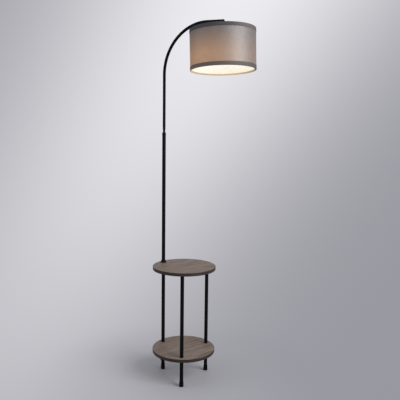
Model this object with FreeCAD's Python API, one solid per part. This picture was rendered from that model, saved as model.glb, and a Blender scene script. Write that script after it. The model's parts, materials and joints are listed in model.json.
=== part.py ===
import FreeCAD, Part
import math
import os

# Floor lamp that stands on its own two-tier round table.
#
# Millimetres, +Z up, floor at Z = 0. The Z axis is the column's axis, on which the arm
# turns, and +X is the side that the arm reaches over. The lamp is the same on both sides
# of the XZ plane. The table's axis stands at X = leg_circle_radius.

# ---- Table ----
table_diameter = 280.0
board_thickness = 14.0
edge_band_thickness = 1.0
edge_band_round = 0.8
shelf_height = 131.0            # top face of the shelf above the floor
tabletop_height = 508.0         # top face of the tabletop above the floor
leg_inset = 25.0                # leg axes from the boards' outer edge
front_leg_angle = 60.0          # front legs, either side of +X seen from the table's axis

# ---- Leg and column tubes ----
leg_diameter = 16.0
leg_wall = 1.0
ferrule_top = 1098.0            # height at which the arm's neck leaves the column

# ---- Foot caps ----
foot_height = 24.0
foot_sole = 4.0                 # solid rubber under the tube's end
foot_rim_diameter = 18.0
foot_base_diameter = 19.8
foot_base_round = 2.2
foot_rim_round = 0.6

# ---- Threaded connectors ----
plug_length = 16.0
stud_diameter = 8.0
stud_engagement = 12.0          # how far a stud or nipple reaches into a plug
insert_diameter = 12.0
insert_depth = 10.0
insert_engagement = 9.0         # how far a stud reaches into an insert
nipple_diameter = 10.0
nipple_bore = 7.0

# ---- Collar on the tabletop ----
flange_base_diameter = 27.0
flange_neck_diameter = 18.4
flange_height = 12.5
flange_lip = 2.5
flange_rim_round = 0.6

# ---- Swivel at the top of the column ----
ferrule_diameter = 16.8
ferrule_collar_height = 16.0
ferrule_spigot_length = 22.0
ferrule_shoulder_round = 2.6
ferrule_foot_round = 0.4
journal_diameter = 9.0
neck_diameter = 10.4
neck_height = 8.0
neck_taper_height = 12.0
pivot_spigot_length = 22.0
pivot_thread_diameter = 8.0
pivot_thread_spare = 1.0        # thread that stands out below the nut
pivot_bore = 5.8
washer_diameter = 13.0
washer_thickness = 1.0
pivot_nut_width = 11.0
pivot_nut_thickness = 5.0

# ---- Arm ----
arm_diameter = 12.7
arm_wall = 1.0
arm_bend_start = 1350.0         # height at which the upright begins to bend
arm_bend_radius = 203.0
arm_bend_angle = 94.0           # a little past level, so the tail droops
arm_reach = 291.0               # from the column's axis to the lampholder's axis
end_block_overhang = 7.0        # end block past the lampholder's axis, both ways
end_spigot_length = 16.0
end_block_round = 0.8
boss_diameter = 13.0
boss_thread_depth = 8.0
locknut_width = 14.0
locknut_thickness = 3.0

# ---- How the shade hangs ----
shade_tilt = 2.1                # the shade's outer side hangs this much high
shade_drop = 35.0               # from the arm's centre line to the shade's top rim

# ---- Shade ----
shade_diameter = 272.4          # over the rim bands
shade_height = 163.0
fabric_thickness = 0.6
lining_thickness = 0.6
trim_thickness = 0.7
trim_height = 15.0
trim_fold = 6.0                 # band folded in over the rim wire
rim_wire_diameter = 4.0
seam_width = 10.0
hub_diameter = 62.0
hub_thickness = 1.6
hub_overlap = 4.0               # length of a spoke welded over the hub
spoke_diameter = 3.5
spoke_count = 3

# ---- Lampholder ----
cap_height = 20.0
cap_top_diameter = 26.0
cap_diameter = 38.0
cap_skirt = 6.0                 # straight part of the cap's wall
cap_boss_diameter = 16.0
cap_boss_depth = 9.0
holder_wall = 2.0
sleeve_diameter = 39.4
sleeve_length = 32.0
flange_plate_diameter = 46.0
flange_plate_thickness = 2.0
core_base = 10.0
core_recess = 1.5               # core below the top of the sleeve
core_skirt_gap = 3.0            # sleeve past the core's lower edge
core_bore = 6.0
socket_bore = 26.8
socket_wall = 0.5
contact_diameter = 7.0
contact_thickness = 1.2
ring_nut_diameter = 52.0
ring_nut_height = 8.0
ring_nut_grips = 12
grip_radius = 3.0
grip_depth = 1.2

# ---- Bulb ----
bulb_length = 108.0
bulb_diameter = 60.0
bulb_seam_diameter = 54.0       # where globe and housing meet
bulb_globe_wall = 1.2
bulb_cap_diameter = 26.0
bulb_cap_length = 24.0
bulb_cap_shoulder = 3.0
bulb_waist_share = 0.36         # of the widening that is reached half-way down the housing
bulb_housing_neck = 27.6
bulb_contact_diameter = 9.4
bulb_contact_height = 1.5

# ---- Cable inside the tubes ----
cable_diameter = 4.5
cable_bend_radius = 6.0
outlet_height = 45.0
grommet_flange_diameter = 12.0
grommet_neck_diameter = 8.6
grommet_lip_diameter = 10.2
grommet_stand_out = 2.4
grommet_lip_depth = 1.3

# ---- Clearances, each on the radius or the face ----
push_fit = 0.05
running_fit = 0.06
axial_play = 0.10
bolt_clearance = 0.25
collar_clearance = 0.15
glue_gap = 0.05
cable_clearance = 0.20
coil_gap = 0.10                 # rim wire in its fold
notch_clearance = 0.30          # rim fold round a spoke

# ---- Working values ----
cut_spare = 1.0                 # a cutting shape's run past what it cuts
same_place = 1e-6               # values closer than this are taken as one

# ---- Worked-out sizes ----
table_radius = table_diameter / 2
leg_circle_radius = table_radius - leg_inset
shelf_bottom = shelf_height - board_thickness
tabletop_bottom = tabletop_height - board_thickness
leg_radius = leg_diameter / 2
leg_bore_radius = leg_radius - leg_wall
column_top = ferrule_top - ferrule_collar_height
ferrule_bottom = column_top - ferrule_spigot_length
arm_tube_bottom = ferrule_top + neck_height + neck_taper_height
arm_radius = arm_diameter / 2
arm_bore_radius = arm_radius - arm_wall
bend = math.radians(arm_bend_angle)
bend_end_x = arm_bend_radius * (1 - math.cos(bend))
bend_end_z = arm_bend_start + arm_bend_radius * math.sin(bend)
tail_length = (arm_reach - bend_end_x) / math.sin(bend)
head_z = bend_end_z + tail_length * math.cos(bend)

# Heights in the lampholder's own frame: origin on the arm's centre line, +Z up its axis.
rim_top = -shade_drop
rim_bottom = rim_top - shade_height
top_wire_z = rim_top - trim_thickness - coil_gap - rim_wire_diameter / 2
bottom_wire_z = rim_bottom + trim_thickness + coil_gap + rim_wire_diameter / 2
hub_top = top_wire_z + hub_thickness / 2
hub_bottom = hub_top - hub_thickness
sleeve_top = hub_top + flange_plate_thickness
sleeve_bottom = sleeve_top - sleeve_length
cap_top = sleeve_top + cap_height
boss_bottom = cap_top + locknut_thickness
core_top = sleeve_top - core_recess
core_face = core_top - core_base
core_bottom = sleeve_bottom + core_skirt_gap
contact_face = core_face - contact_thickness
bulb_cap_top = contact_face - bulb_contact_height
bulb_cap_bottom = bulb_cap_top - bulb_cap_length
globe_radius = bulb_diameter / 2
globe_centre = contact_face - bulb_length + globe_radius
globe_seam = globe_centre + math.sqrt(globe_radius ** 2 - (bulb_seam_diameter / 2) ** 2)

# Radii of the shade's layers, from the outside in.
trim_radius = shade_diameter / 2
fabric_radius = trim_radius - trim_thickness - glue_gap
lining_radius = fabric_radius - fabric_thickness - glue_gap
lining_bore_radius = lining_radius - lining_thickness
rim_wire_radius = lining_bore_radius - coil_gap - rim_wire_diameter / 2
fold_radius = rim_wire_radius - rim_wire_diameter / 2 - coil_gap - trim_thickness

Z_AXIS = FreeCAD.Vector(0, 0, 1)
ORIGIN = FreeCAD.Vector(0, 0, 0)
HEAD = FreeCAD.Placement(
    FreeCAD.Vector(arm_reach, 0, head_z),
    FreeCAD.Rotation(FreeCAD.Vector(0, 1, 0), -shade_tilt),
)

LEGS = {
    "rear": 180.0,
    "front_left": front_leg_angle,
    "front_right": -front_leg_angle,
}


# ---- Geometry helpers ----

def leg_place(name):
    """Axis of a leg as an (x, y) pair."""
    angle = math.radians(LEGS[name])
    return (leg_circle_radius * (1 + math.cos(angle)), leg_circle_radius * math.sin(angle))


def front_leg_places():
    return [leg_place(name) for name in LEGS if name.startswith("front")]


def rod(radius, bottom, top, place=(0.0, 0.0)):
    """Upright cylinder between two heights."""
    return Part.makeCylinder(radius, top - bottom, FreeCAD.Vector(place[0], place[1], bottom))


def pipe(radius, bore_radius, bottom, top, place=(0.0, 0.0)):
    """Upright cylinder with a hole right through."""
    return rod(radius, bottom, top, place).cut(rod(bore_radius, bottom - cut_spare, top + cut_spare, place))


def prism(width, bottom, top):
    """Upright hexagon, as wide across its flats as width."""
    corner = width / math.sqrt(3)
    points = [
        FreeCAD.Vector(corner * math.cos(math.radians(a)), corner * math.sin(math.radians(a)), bottom)
        for a in range(0, 361, 60)
    ]
    return Part.Face(Part.makePolygon(points)).extrude(FreeCAD.Vector(0, 0, top - bottom))


def arc_step(centre, radius, start, end):
    """Arc for an outline, as (point on the way, end point), from angle start to angle end."""
    def at(degrees):
        angle = math.radians(degrees)
        return (centre[0] + radius * math.cos(angle), centre[1] + radius * math.sin(angle))
    return (at((start + end) / 2), at(end))


def turned(start, *steps):
    """Solid turned about the Z axis. The outline is in (radius, height). A step is the
    next corner, or an arc as the pair that arc_step gives."""
    here = FreeCAD.Vector(start[0], 0, start[1])
    first = here
    edges = []
    for step in steps:
        if isinstance(step[0], tuple):
            through = FreeCAD.Vector(step[0][0], 0, step[0][1])
            there = FreeCAD.Vector(step[1][0], 0, step[1][1])
            edges.append(Part.Arc(here, through, there).toShape())
        else:
            there = FreeCAD.Vector(step[0], 0, step[1])
            edges.append(Part.LineSegment(here, there).toShape())
        here = there
    edges.append(Part.LineSegment(here, first).toShape())
    return Part.Face(Part.Wire(edges)).revolve(ORIGIN, Z_AXIS, 360)


def round_circles(solid, size, radius, heights):
    """Rounds the circular edges of one radius at the given heights."""
    picked = []
    for edge in solid.Edges:
        curve = edge.Curve
        if isinstance(curve, Part.Circle) and abs(curve.Radius - radius) < same_place:
            if any(abs(curve.Center.z - height) < same_place for height in heights):
                picked.append(edge)
    return solid.makeFillet(size, picked)


def bent_rod(radius, corners):
    """Round rod in the XZ plane. It runs straight between corners (x, z, bend radius) and
    turns each inner corner on a tangent arc. Gives the solid and its centre line's length."""
    points = [FreeCAD.Vector(x, 0, z) for x, z, _ in corners]
    here = points[0]
    pieces = []
    length = 0.0
    for i in range(1, len(points)):
        inward = (points[i] - points[i - 1]).normalize()
        if i == len(points) - 1:
            straight_end = points[i]
        else:
            outward = (points[i + 1] - points[i]).normalize()
            turn = inward.getAngle(outward)
            bend_radius = corners[i][2]
            straight_end = points[i] - inward * (bend_radius * math.tan(turn / 2))
        straight = (straight_end - here).Length
        pieces.append(Part.makeCylinder(radius, straight, here, inward))
        length += straight
        if i < len(points) - 1:
            axis = inward.cross(outward).normalize()
            centre = straight_end + axis.cross(inward) * bend_radius
            section = Part.Face(Part.Wire(Part.makeCircle(radius, straight_end, inward)))
            pieces.append(section.revolve(centre, axis, math.degrees(turn)))
            here = points[i] + outward * (bend_radius * math.tan(turn / 2))
            length += bend_radius * turn
    return pieces[0].fuse(pieces[1:]).removeSplitter(), length


def on_head(shape):
    """Moves a piece from the lampholder's frame to the lamp's."""
    moved = shape.copy()
    moved.Placement = HEAD.multiply(moved.Placement)
    return moved


def save(node, *solids):
    """Writes one node as STEP, with each of its solids kept apart."""
    shape = solids[0] if len(solids) == 1 else Part.makeCompound(list(solids))
    shape.exportStep("parts/" + node + ".step")


# ---- Stand ----

def make_feet():
    bore = leg_radius + push_fit
    base = foot_base_diameter / 2
    rim = foot_rim_diameter / 2
    foot = turned(
        (0, 0),
        (base - foot_base_round, 0),
        arc_step((base - foot_base_round, foot_base_round), foot_base_round, -90, 0),
        (rim, foot_height - foot_rim_round),
        (rim - foot_rim_round, foot_height),
        (bore, foot_height),
        (bore, foot_sole),
        (0, foot_sole),
    )
    for name in LEGS:
        x, y = leg_place(name)
        save("foot_" + name, foot.translated(FreeCAD.Vector(x, y, 0)))


def make_legs():
    for name in LEGS:
        place = leg_place(name)
        lower = pipe(leg_radius, leg_bore_radius, foot_sole, shelf_bottom, place)
        if name == "rear":
            outlet = Part.makeCylinder(
                grommet_neck_diameter / 2 + push_fit,
                leg_diameter,
                FreeCAD.Vector(-leg_diameter, 0, outlet_height),
                FreeCAD.Vector(1, 0, 0),
            )
            lower = lower.cut(outlet)
        save("lower_leg_" + name, lower)
        save("upper_leg_" + name, pipe(leg_radius, leg_bore_radius, shelf_height, tabletop_bottom, place))


def board(bottom, top):
    """Round board inside its edge band."""
    radius = table_radius - edge_band_thickness - glue_gap
    return rod(radius, bottom, top, (leg_circle_radius, 0.0))


def edge_band(bottom, top):
    band = pipe(table_radius, table_radius - edge_band_thickness, bottom, top, (leg_circle_radius, 0.0))
    return round_circles(band, edge_band_round, table_radius, [bottom, top])


def make_boards():
    stud_hole = stud_diameter / 2 + bolt_clearance
    nipple_hole = nipple_diameter / 2 + bolt_clearance
    shelf = board(shelf_bottom, shelf_height)
    top = board(tabletop_bottom, tabletop_height)
    shelf_cut = (shelf_bottom - cut_spare, shelf_height + cut_spare)
    top_cut = (tabletop_bottom - cut_spare, tabletop_height + cut_spare)
    pocket_cut = (tabletop_bottom - cut_spare, tabletop_bottom + insert_depth)
    shelf = shelf.cut(rod(nipple_hole, *shelf_cut))
    top = top.cut(rod(nipple_hole, *top_cut))
    for place in front_leg_places():
        shelf = shelf.cut(rod(stud_hole, *shelf_cut, place))
        top = top.cut(rod(insert_diameter / 2 + push_fit, *pocket_cut, place))
    save("shelf_board", shelf)
    save("tabletop", top)
    save("shelf_edge_band", edge_band(shelf_bottom, shelf_height))
    save("tabletop_edge_band", edge_band(tabletop_bottom, tabletop_height))


def make_connectors():
    """Plugs in the tube ends, and the studs and nipples that join them through the boards."""
    plug_radius = leg_bore_radius - push_fit
    stud_radius = stud_diameter / 2
    nipple_radius = nipple_diameter / 2
    below_shelf = (shelf_bottom - plug_length, shelf_bottom)
    above_shelf = (shelf_height, shelf_height + plug_length)
    below_tabletop = (tabletop_bottom - plug_length, tabletop_bottom)
    above_tabletop = (tabletop_height, tabletop_height + plug_length)

    plugs = []
    studs = []
    inserts = []
    top_studs = []
    for place in front_leg_places():
        for bottom, top in (below_shelf, above_shelf, below_tabletop):
            plugs.append(pipe(plug_radius, stud_radius + push_fit, bottom, top, place))
        studs.append(rod(stud_radius, shelf_bottom - stud_engagement, shelf_height + stud_engagement, place))
        insert_top = tabletop_bottom + insert_depth
        inserts.append(pipe(insert_diameter / 2, stud_radius + push_fit, tabletop_bottom, insert_top, place))
        stud_top = tabletop_bottom + insert_engagement
        top_studs.append(rod(stud_radius, tabletop_bottom - stud_engagement, stud_top, place))
    save("leg_plugs", *plugs)
    save("shelf_studs", *studs)
    save("tabletop_inserts", *inserts)
    save("tabletop_studs", *top_studs)

    wireways = [
        pipe(plug_radius, nipple_radius + push_fit, bottom, top)
        for bottom, top in (below_shelf, above_shelf, below_tabletop, above_tabletop)
    ]
    save("wireway_plugs", *wireways)
    for node, bottom, top in (
        ("shelf_nipple", shelf_bottom, shelf_height),
        ("tabletop_nipple", tabletop_bottom, tabletop_height),
    ):
        save(node, pipe(nipple_radius, nipple_bore / 2, bottom - stud_engagement, top + stud_engagement))


def make_column():
    base = flange_base_diameter / 2
    neck = flange_neck_diameter / 2
    bore = leg_radius + collar_clearance
    foot = tabletop_height
    waist = ((base + neck) / 2 - flange_rim_round, foot + (flange_lip + flange_height) / 2)
    flange = turned(
        (bore, foot),
        (base, foot),
        (base, foot + flange_lip - flange_rim_round),
        (base - flange_rim_round, foot + flange_lip),
        (waist, (neck, foot + flange_height - flange_rim_round)),
        (neck - flange_rim_round, foot + flange_height),
        (bore, foot + flange_height),
    )
    save("column_flange", flange)
    save("column_tube", pipe(leg_radius, leg_bore_radius, tabletop_height, column_top))


def make_swivel():
    """Ferrule in the column, and the turned pivot of the arm that runs in it."""
    collar = ferrule_diameter / 2
    journal_bore = journal_diameter / 2 + running_fit
    ferrule = turned(
        (journal_bore, ferrule_bottom),
        (leg_bore_radius - push_fit, ferrule_bottom),
        (leg_bore_radius - push_fit, column_top),
        (collar - ferrule_foot_round, column_top),
        (collar, column_top + ferrule_foot_round),
        (collar, ferrule_top - ferrule_shoulder_round),
        arc_step(
            (collar - ferrule_shoulder_round, ferrule_top - ferrule_shoulder_round),
            ferrule_shoulder_round, 0, 90,
        ),
        (journal_bore, ferrule_top),
    )
    save("column_ferrule", ferrule)

    bore = pivot_bore / 2
    spigot = arm_bore_radius - push_fit
    thread = pivot_thread_diameter / 2
    journal_bottom = ferrule_bottom - axial_play
    thread_bottom = journal_bottom - washer_thickness - pivot_nut_thickness - pivot_thread_spare
    pivot = turned(
        (bore, thread_bottom),
        (thread, thread_bottom),
        (thread, journal_bottom),
        (journal_diameter / 2, journal_bottom),
        (journal_diameter / 2, ferrule_top),
        (neck_diameter / 2, ferrule_top),
        (neck_diameter / 2, ferrule_top + neck_height),
        (arm_radius, arm_tube_bottom),
        (spigot, arm_tube_bottom),
        (spigot, arm_tube_bottom + pivot_spigot_length),
        (bore, arm_tube_bottom + pivot_spigot_length),
    )
    save("arm_pivot", pivot)

    washer_bottom = journal_bottom - washer_thickness
    save("pivot_washer", pipe(washer_diameter / 2, thread + push_fit, washer_bottom, journal_bottom))
    nut_bottom = washer_bottom - pivot_nut_thickness
    nut = prism(pivot_nut_width, nut_bottom, washer_bottom)
    thread_hole = rod(thread + push_fit, nut_bottom - cut_spare, washer_bottom + cut_spare)
    save("pivot_nut", nut.cut(thread_hole))


# ---- Arm ----

def arm_corner():
    """Where the upright's line meets the tail's line, with the bend between them."""
    return (0.0, arm_bend_start + arm_bend_radius * math.tan(bend / 2), arm_bend_radius)


def tail_point(distance):
    """Point on the tail's line, at a distance short of the lampholder's axis."""
    return (arm_reach - distance * math.sin(bend), head_z - distance * math.cos(bend), 0.0)


def make_arm():
    route = [(0.0, arm_tube_bottom, 0.0), arm_corner(), tail_point(end_block_overhang)]
    outside, _ = bent_rod(arm_radius, route)
    inside, _ = bent_rod(arm_bore_radius, route)
    save("arm_tube", outside.cut(inside))


def make_end_block():
    """Closes the arm. Its boss points down the lampholder's axis and takes the nipple."""
    along = FreeCAD.Vector(math.sin(bend), 0, math.cos(bend))
    centre = FreeCAD.Vector(arm_reach, 0, head_z)
    inner_end = centre - along * end_block_overhang
    block = Part.makeCylinder(arm_radius, 2 * end_block_overhang, inner_end, along)
    rims = [edge for edge in block.Edges if isinstance(edge.Curve, Part.Circle)]
    outer_rim = max(rims, key=lambda edge: (edge.CenterOfMass - inner_end).dot(along))
    block = block.makeFillet(end_block_round, [outer_rim])
    spigot_start = inner_end - along * end_spigot_length
    spigot = Part.makeCylinder(arm_bore_radius - push_fit, end_spigot_length, spigot_start, along)
    boss = on_head(rod(boss_diameter / 2, boss_bottom, 0.0))
    solid = block.fuse([spigot, boss]).removeSplitter()
    wireway = Part.makeCylinder(nipple_bore / 2, end_block_overhang + end_spigot_length, spigot_start, along)
    drop = on_head(rod(nipple_bore / 2, boss_bottom, 0.0))
    thread_end = boss_bottom + boss_thread_depth
    thread = on_head(rod(nipple_diameter / 2 + push_fit, boss_bottom - cut_spare, thread_end))
    elbow = Part.makeSphere(nipple_bore / 2, centre)
    save("arm_end_block", solid.cut([wireway, drop, thread, elbow]))


# ---- Lampholder ----

def make_lampholder():
    nipple_radius = nipple_diameter / 2
    thread_bore = nipple_radius + push_fit
    nipple_top = boss_bottom + boss_thread_depth
    nipple_bottom = cap_top - cap_boss_depth
    save("lampholder_nipple", on_head(pipe(nipple_radius, nipple_bore / 2, nipple_bottom, nipple_top)))
    locknut = prism(locknut_width, cap_top, boss_bottom)
    thread_hole = rod(thread_bore, cap_top - cut_spare, boss_bottom + cut_spare)
    save("nipple_locknut", on_head(locknut.cut(thread_hole)))

    crown = cap_top_diameter / 2
    outer = cap_diameter / 2
    inner = outer - holder_wall
    skirt_top = sleeve_top + cap_skirt
    boss = cap_boss_diameter / 2
    ceiling = cap_top - holder_wall
    dome = ((crown + outer) / 2 + holder_wall / 2, (cap_top + skirt_top) / 2 + holder_wall)
    vault = (dome[0] - holder_wall, dome[1] - holder_wall)
    cap = turned(
        (thread_bore, cap_top),
        (crown, cap_top),
        (dome, (outer, skirt_top)),
        (outer, sleeve_top),
        (inner, sleeve_top),
        (inner, skirt_top - holder_wall / 2),
        (vault, (crown - holder_wall / 2, ceiling)),
        (boss, ceiling),
        (boss, cap_top - cap_boss_depth),
        (thread_bore, cap_top - cap_boss_depth),
    )
    save("lampholder_cap", on_head(cap))

    sleeve = pipe(sleeve_diameter / 2, sleeve_diameter / 2 - holder_wall, sleeve_bottom, sleeve_top)
    plate = pipe(flange_plate_diameter / 2, sleeve_diameter / 2 - holder_wall, hub_top, sleeve_top)
    save("lampholder_body", on_head(sleeve.fuse(plate).removeSplitter()))

    socket_radius = socket_bore / 2 + socket_wall
    core = turned(
        (core_bore / 2, core_top),
        (sleeve_diameter / 2 - holder_wall - push_fit, core_top),
        (sleeve_diameter / 2 - holder_wall - push_fit, core_bottom),
        (socket_radius + push_fit, core_bottom),
        (socket_radius + push_fit, core_face),
        (core_bore / 2, core_face),
    )
    save("lampholder_core", on_head(core))
    save("socket_shell", on_head(pipe(socket_radius, socket_bore / 2, core_bottom, core_face)))
    save("socket_contact", on_head(rod(contact_diameter / 2, contact_face, core_face)))

    nut_bottom = hub_bottom - ring_nut_height
    nut = pipe(ring_nut_diameter / 2, sleeve_diameter / 2 + push_fit, nut_bottom, hub_bottom)
    grip_circle = ring_nut_diameter / 2 + grip_radius - grip_depth
    grips = []
    for i in range(ring_nut_grips):
        angle = 2 * math.pi * i / ring_nut_grips
        place = (grip_circle * math.cos(angle), grip_circle * math.sin(angle))
        grips.append(rod(grip_radius, nut_bottom - cut_spare, hub_bottom + cut_spare, place))
    save("shade_ring_nut", on_head(nut.cut(grips)))


# ---- Shade ----

def spokes(radius, start):
    """Spokes from a distance off the axis out to the top rim wire."""
    reach = rim_wire_radius - start
    spoke = Part.makeCylinder(radius, reach, FreeCAD.Vector(start, 0, top_wire_z), FreeCAD.Vector(1, 0, 0))
    return [spoke.rotated(ORIGIN, Z_AXIS, 360.0 * i / spoke_count) for i in range(spoke_count)]


def rim_wire(height, grow=0.0):
    return Part.makeTorus(rim_wire_radius, rim_wire_diameter / 2 + grow, FreeCAD.Vector(0, 0, height))


def make_frame():
    hub = pipe(hub_diameter / 2, sleeve_diameter / 2 + push_fit, hub_bottom, hub_top)
    spider = hub.fuse(spokes(spoke_diameter / 2, hub_diameter / 2 - hub_overlap)).removeSplitter()
    save("shade_spider", on_head(spider.cut(rim_wire(top_wire_z, push_fit))))
    save("shade_top_wire", on_head(rim_wire(top_wire_z)))
    save("shade_bottom_wire", on_head(rim_wire(bottom_wire_z)))


def make_skins():
    skin_top = rim_top - trim_thickness
    skin_bottom = rim_bottom + trim_thickness
    save("shade_lining", on_head(pipe(lining_radius, lining_bore_radius, skin_bottom, skin_top)))

    cloth = pipe(fabric_radius, fabric_radius - fabric_thickness, skin_bottom, skin_top)
    seam_bottom = rim_bottom + trim_height + glue_gap
    seam_top = rim_top - trim_height - glue_gap
    seam_angle = math.degrees(seam_width / fabric_radius)
    seam_radius = fabric_radius + fabric_thickness
    lap = Part.makeCylinder(
        seam_radius, seam_top - seam_bottom, FreeCAD.Vector(0, 0, seam_bottom), Z_AXIS, seam_angle,
    )
    lap_inside = fabric_radius - fabric_thickness / 2
    lap = lap.cut(rod(lap_inside, seam_bottom - cut_spare, seam_top + cut_spare))
    lap = lap.rotated(ORIGIN, Z_AXIS, 180.0 - seam_angle / 2)
    save("shade_fabric", on_head(cloth.fuse(lap).removeSplitter()))


def rim_band(rim, inward):
    """Dark band glued round a rim and folded in over its wire. inward is -1 at the top rim
    and 1 at the bottom one."""
    web = rim + inward * trim_thickness
    fold_end = rim + inward * trim_fold
    skirt_end = rim + inward * trim_height
    corner = trim_thickness
    inner = fold_radius
    return turned(
        (trim_radius, skirt_end),
        (trim_radius, rim + inward * corner),
        (trim_radius - corner, rim),
        (inner + corner, rim),
        (inner, rim + inward * corner),
        (inner, fold_end),
        (inner + trim_thickness, fold_end),
        (inner + trim_thickness, web),
        (trim_radius - trim_thickness, web),
        (trim_radius - trim_thickness, skirt_end),
    )


def make_trims():
    top = rim_band(rim_top, -1)
    top = top.cut(spokes(spoke_diameter / 2 + notch_clearance, fold_radius - cut_spare))
    save("shade_top_trim", on_head(top))
    save("shade_bottom_trim", on_head(rim_band(rim_bottom, 1)))


# ---- Bulb ----

def make_bulb():
    button = bulb_contact_diameter / 2
    shell = bulb_cap_diameter / 2
    save("bulb_contact", on_head(rod(button, bulb_cap_top, contact_face)))
    cap = turned(
        (0, bulb_cap_top),
        (button, bulb_cap_top),
        (shell, bulb_cap_top - bulb_cap_shoulder),
        (shell, bulb_cap_bottom),
        (0, bulb_cap_bottom),
    )
    save("bulb_screw_cap", on_head(cap))

    neck = bulb_housing_neck / 2
    seam = bulb_seam_diameter / 2
    waist = (neck + bulb_waist_share * (seam - neck), (bulb_cap_bottom + globe_seam) / 2)
    housing = turned(
        (0, bulb_cap_bottom),
        (neck, bulb_cap_bottom),
        (waist, (seam, globe_seam)),
        (0, globe_seam),
    )
    save("bulb_housing", on_head(housing))

    seam_angle = math.degrees(math.asin((globe_seam - globe_centre) / globe_radius))
    inner_radius = globe_radius - bulb_globe_wall
    inner_seam = math.sqrt(inner_radius ** 2 - (globe_seam - globe_centre) ** 2)
    inner_angle = math.degrees(math.acos(inner_seam / inner_radius))
    globe = turned(
        (seam, globe_seam),
        arc_step((0.0, globe_centre), globe_radius, seam_angle, -90),
        (0, globe_centre - inner_radius),
        arc_step((0.0, globe_centre), inner_radius, -90, inner_angle),
    )
    save("bulb_globe", on_head(globe))


# ---- Cable ----

def make_cables():
    radius = cable_diameter / 2
    mouth = -(leg_radius + grommet_stand_out)
    column_route = [
        (mouth, outlet_height, 0.0),
        (0.0, outlet_height, cable_bend_radius),
        (0.0, ferrule_top, 0.0),
    ]
    column_cable, column_length = bent_rod(radius, column_route)
    save("column_cable", column_cable)

    tilt = math.radians(shade_tilt)
    end_depth = core_top - core_base / 2
    arm_route = [
        (0.0, ferrule_top, 0.0),
        arm_corner(),
        (arm_reach, head_z, cable_bend_radius),
        (arm_reach - end_depth * math.sin(tilt), head_z + end_depth * math.cos(tilt), 0.0),
    ]
    arm_cable, arm_length = bent_rod(radius, arm_route)
    save("arm_cable", arm_cable)

    section = math.pi * radius ** 2
    for name, solid, length in (
        ("column", column_cable, column_length),
        ("arm", arm_cable, arm_length),
    ):
        share = solid.Volume / (section * length)
        print(name, "cable length", round(length, 1), "volume over section x length", round(share, 4))
    print("cable bend radii", cable_bend_radius, arm_bend_radius)


def make_grommet():
    outward = FreeCAD.Vector(1, 0, 0)
    outer_end = -(leg_radius + grommet_stand_out)
    lip_end = -(leg_bore_radius - grommet_lip_depth)

    def disc(diameter, start, end):
        base = FreeCAD.Vector(start, 0, outlet_height)
        return Part.makeCylinder(diameter / 2, end - start, base, outward)

    reach = grommet_flange_diameter
    low = outlet_height - reach
    high = outlet_height + reach
    flange = disc(grommet_flange_diameter, outer_end, 0.0).cut(rod(leg_radius + push_fit, low, high))
    lip = disc(grommet_lip_diameter, -leg_radius, lip_end).common(rod(leg_bore_radius - push_fit, low, high))
    neck = disc(grommet_neck_diameter, outer_end, lip_end)
    bore = disc(cable_diameter + 2 * cable_clearance, outer_end - cut_spare, lip_end + cut_spare)
    save("cable_grommet", flange.fuse([neck, lip]).removeSplitter().cut(bore))


def main():
    os.makedirs("parts", exist_ok=True)
    make_feet()
    make_legs()
    make_boards()
    make_connectors()
    make_column()
    make_swivel()
    make_arm()
    make_end_block()
    make_lampholder()
    make_frame()
    make_skins()
    make_trims()
    make_bulb()
    make_cables()
    make_grommet()


main()
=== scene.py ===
import json
import math

import bpy
from mathutils import Matrix, Vector


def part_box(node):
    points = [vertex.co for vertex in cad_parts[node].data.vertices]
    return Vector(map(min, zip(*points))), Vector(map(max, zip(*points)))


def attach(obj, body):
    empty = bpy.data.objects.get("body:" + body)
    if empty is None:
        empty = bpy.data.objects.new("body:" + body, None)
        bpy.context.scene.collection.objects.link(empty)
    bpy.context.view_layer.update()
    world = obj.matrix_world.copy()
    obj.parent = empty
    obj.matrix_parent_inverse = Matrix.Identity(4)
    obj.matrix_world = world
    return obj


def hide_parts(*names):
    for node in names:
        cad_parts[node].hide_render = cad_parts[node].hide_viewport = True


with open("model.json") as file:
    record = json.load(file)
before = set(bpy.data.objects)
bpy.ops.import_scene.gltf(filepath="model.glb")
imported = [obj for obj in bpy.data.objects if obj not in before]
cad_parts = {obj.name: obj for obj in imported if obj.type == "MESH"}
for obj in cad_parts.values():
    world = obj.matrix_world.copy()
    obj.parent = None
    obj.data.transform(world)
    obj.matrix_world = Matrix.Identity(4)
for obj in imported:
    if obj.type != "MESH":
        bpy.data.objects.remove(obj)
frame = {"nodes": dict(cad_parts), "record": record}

bl_info = {
    "name": "Floor Lamp with Table",
    "version": (1, 0, 0),
    "blender": (4, 5, 0),
    "location": "View3D > Sidebar > Lamp",
    "description": "Dresses the lamp's frame with its cloth shade, finishes and studio",
    "category": "Add Mesh",
}

MM = 0.001
ARM = "arm"

# How the shade's cloth and tapes are made.
WELD = 0.01 * MM                # vertices closer than this are joined
SKIN_GAP = 0.05 * MM            # between a tape and the cloth under it
SMOOTH_ANGLE = math.radians(35)
EDGE_ANGLE = math.radians(60)   # edges of a tape sharper than this are rounded
SPOKE_COUNT = 3
NOTCH_LENGTH = 2.0 * MM         # of the cutter for a spoke's notch, along the spoke
NOTCH_INSET = 0.2 * MM          # from the fold's inner face to the cutter's middle

# Noise lies round one half: the narrow span holds most of it and the wide span nearly all.
NARROW = (0.35, 0.65)
WIDE = (0.30, 0.70)

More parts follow.
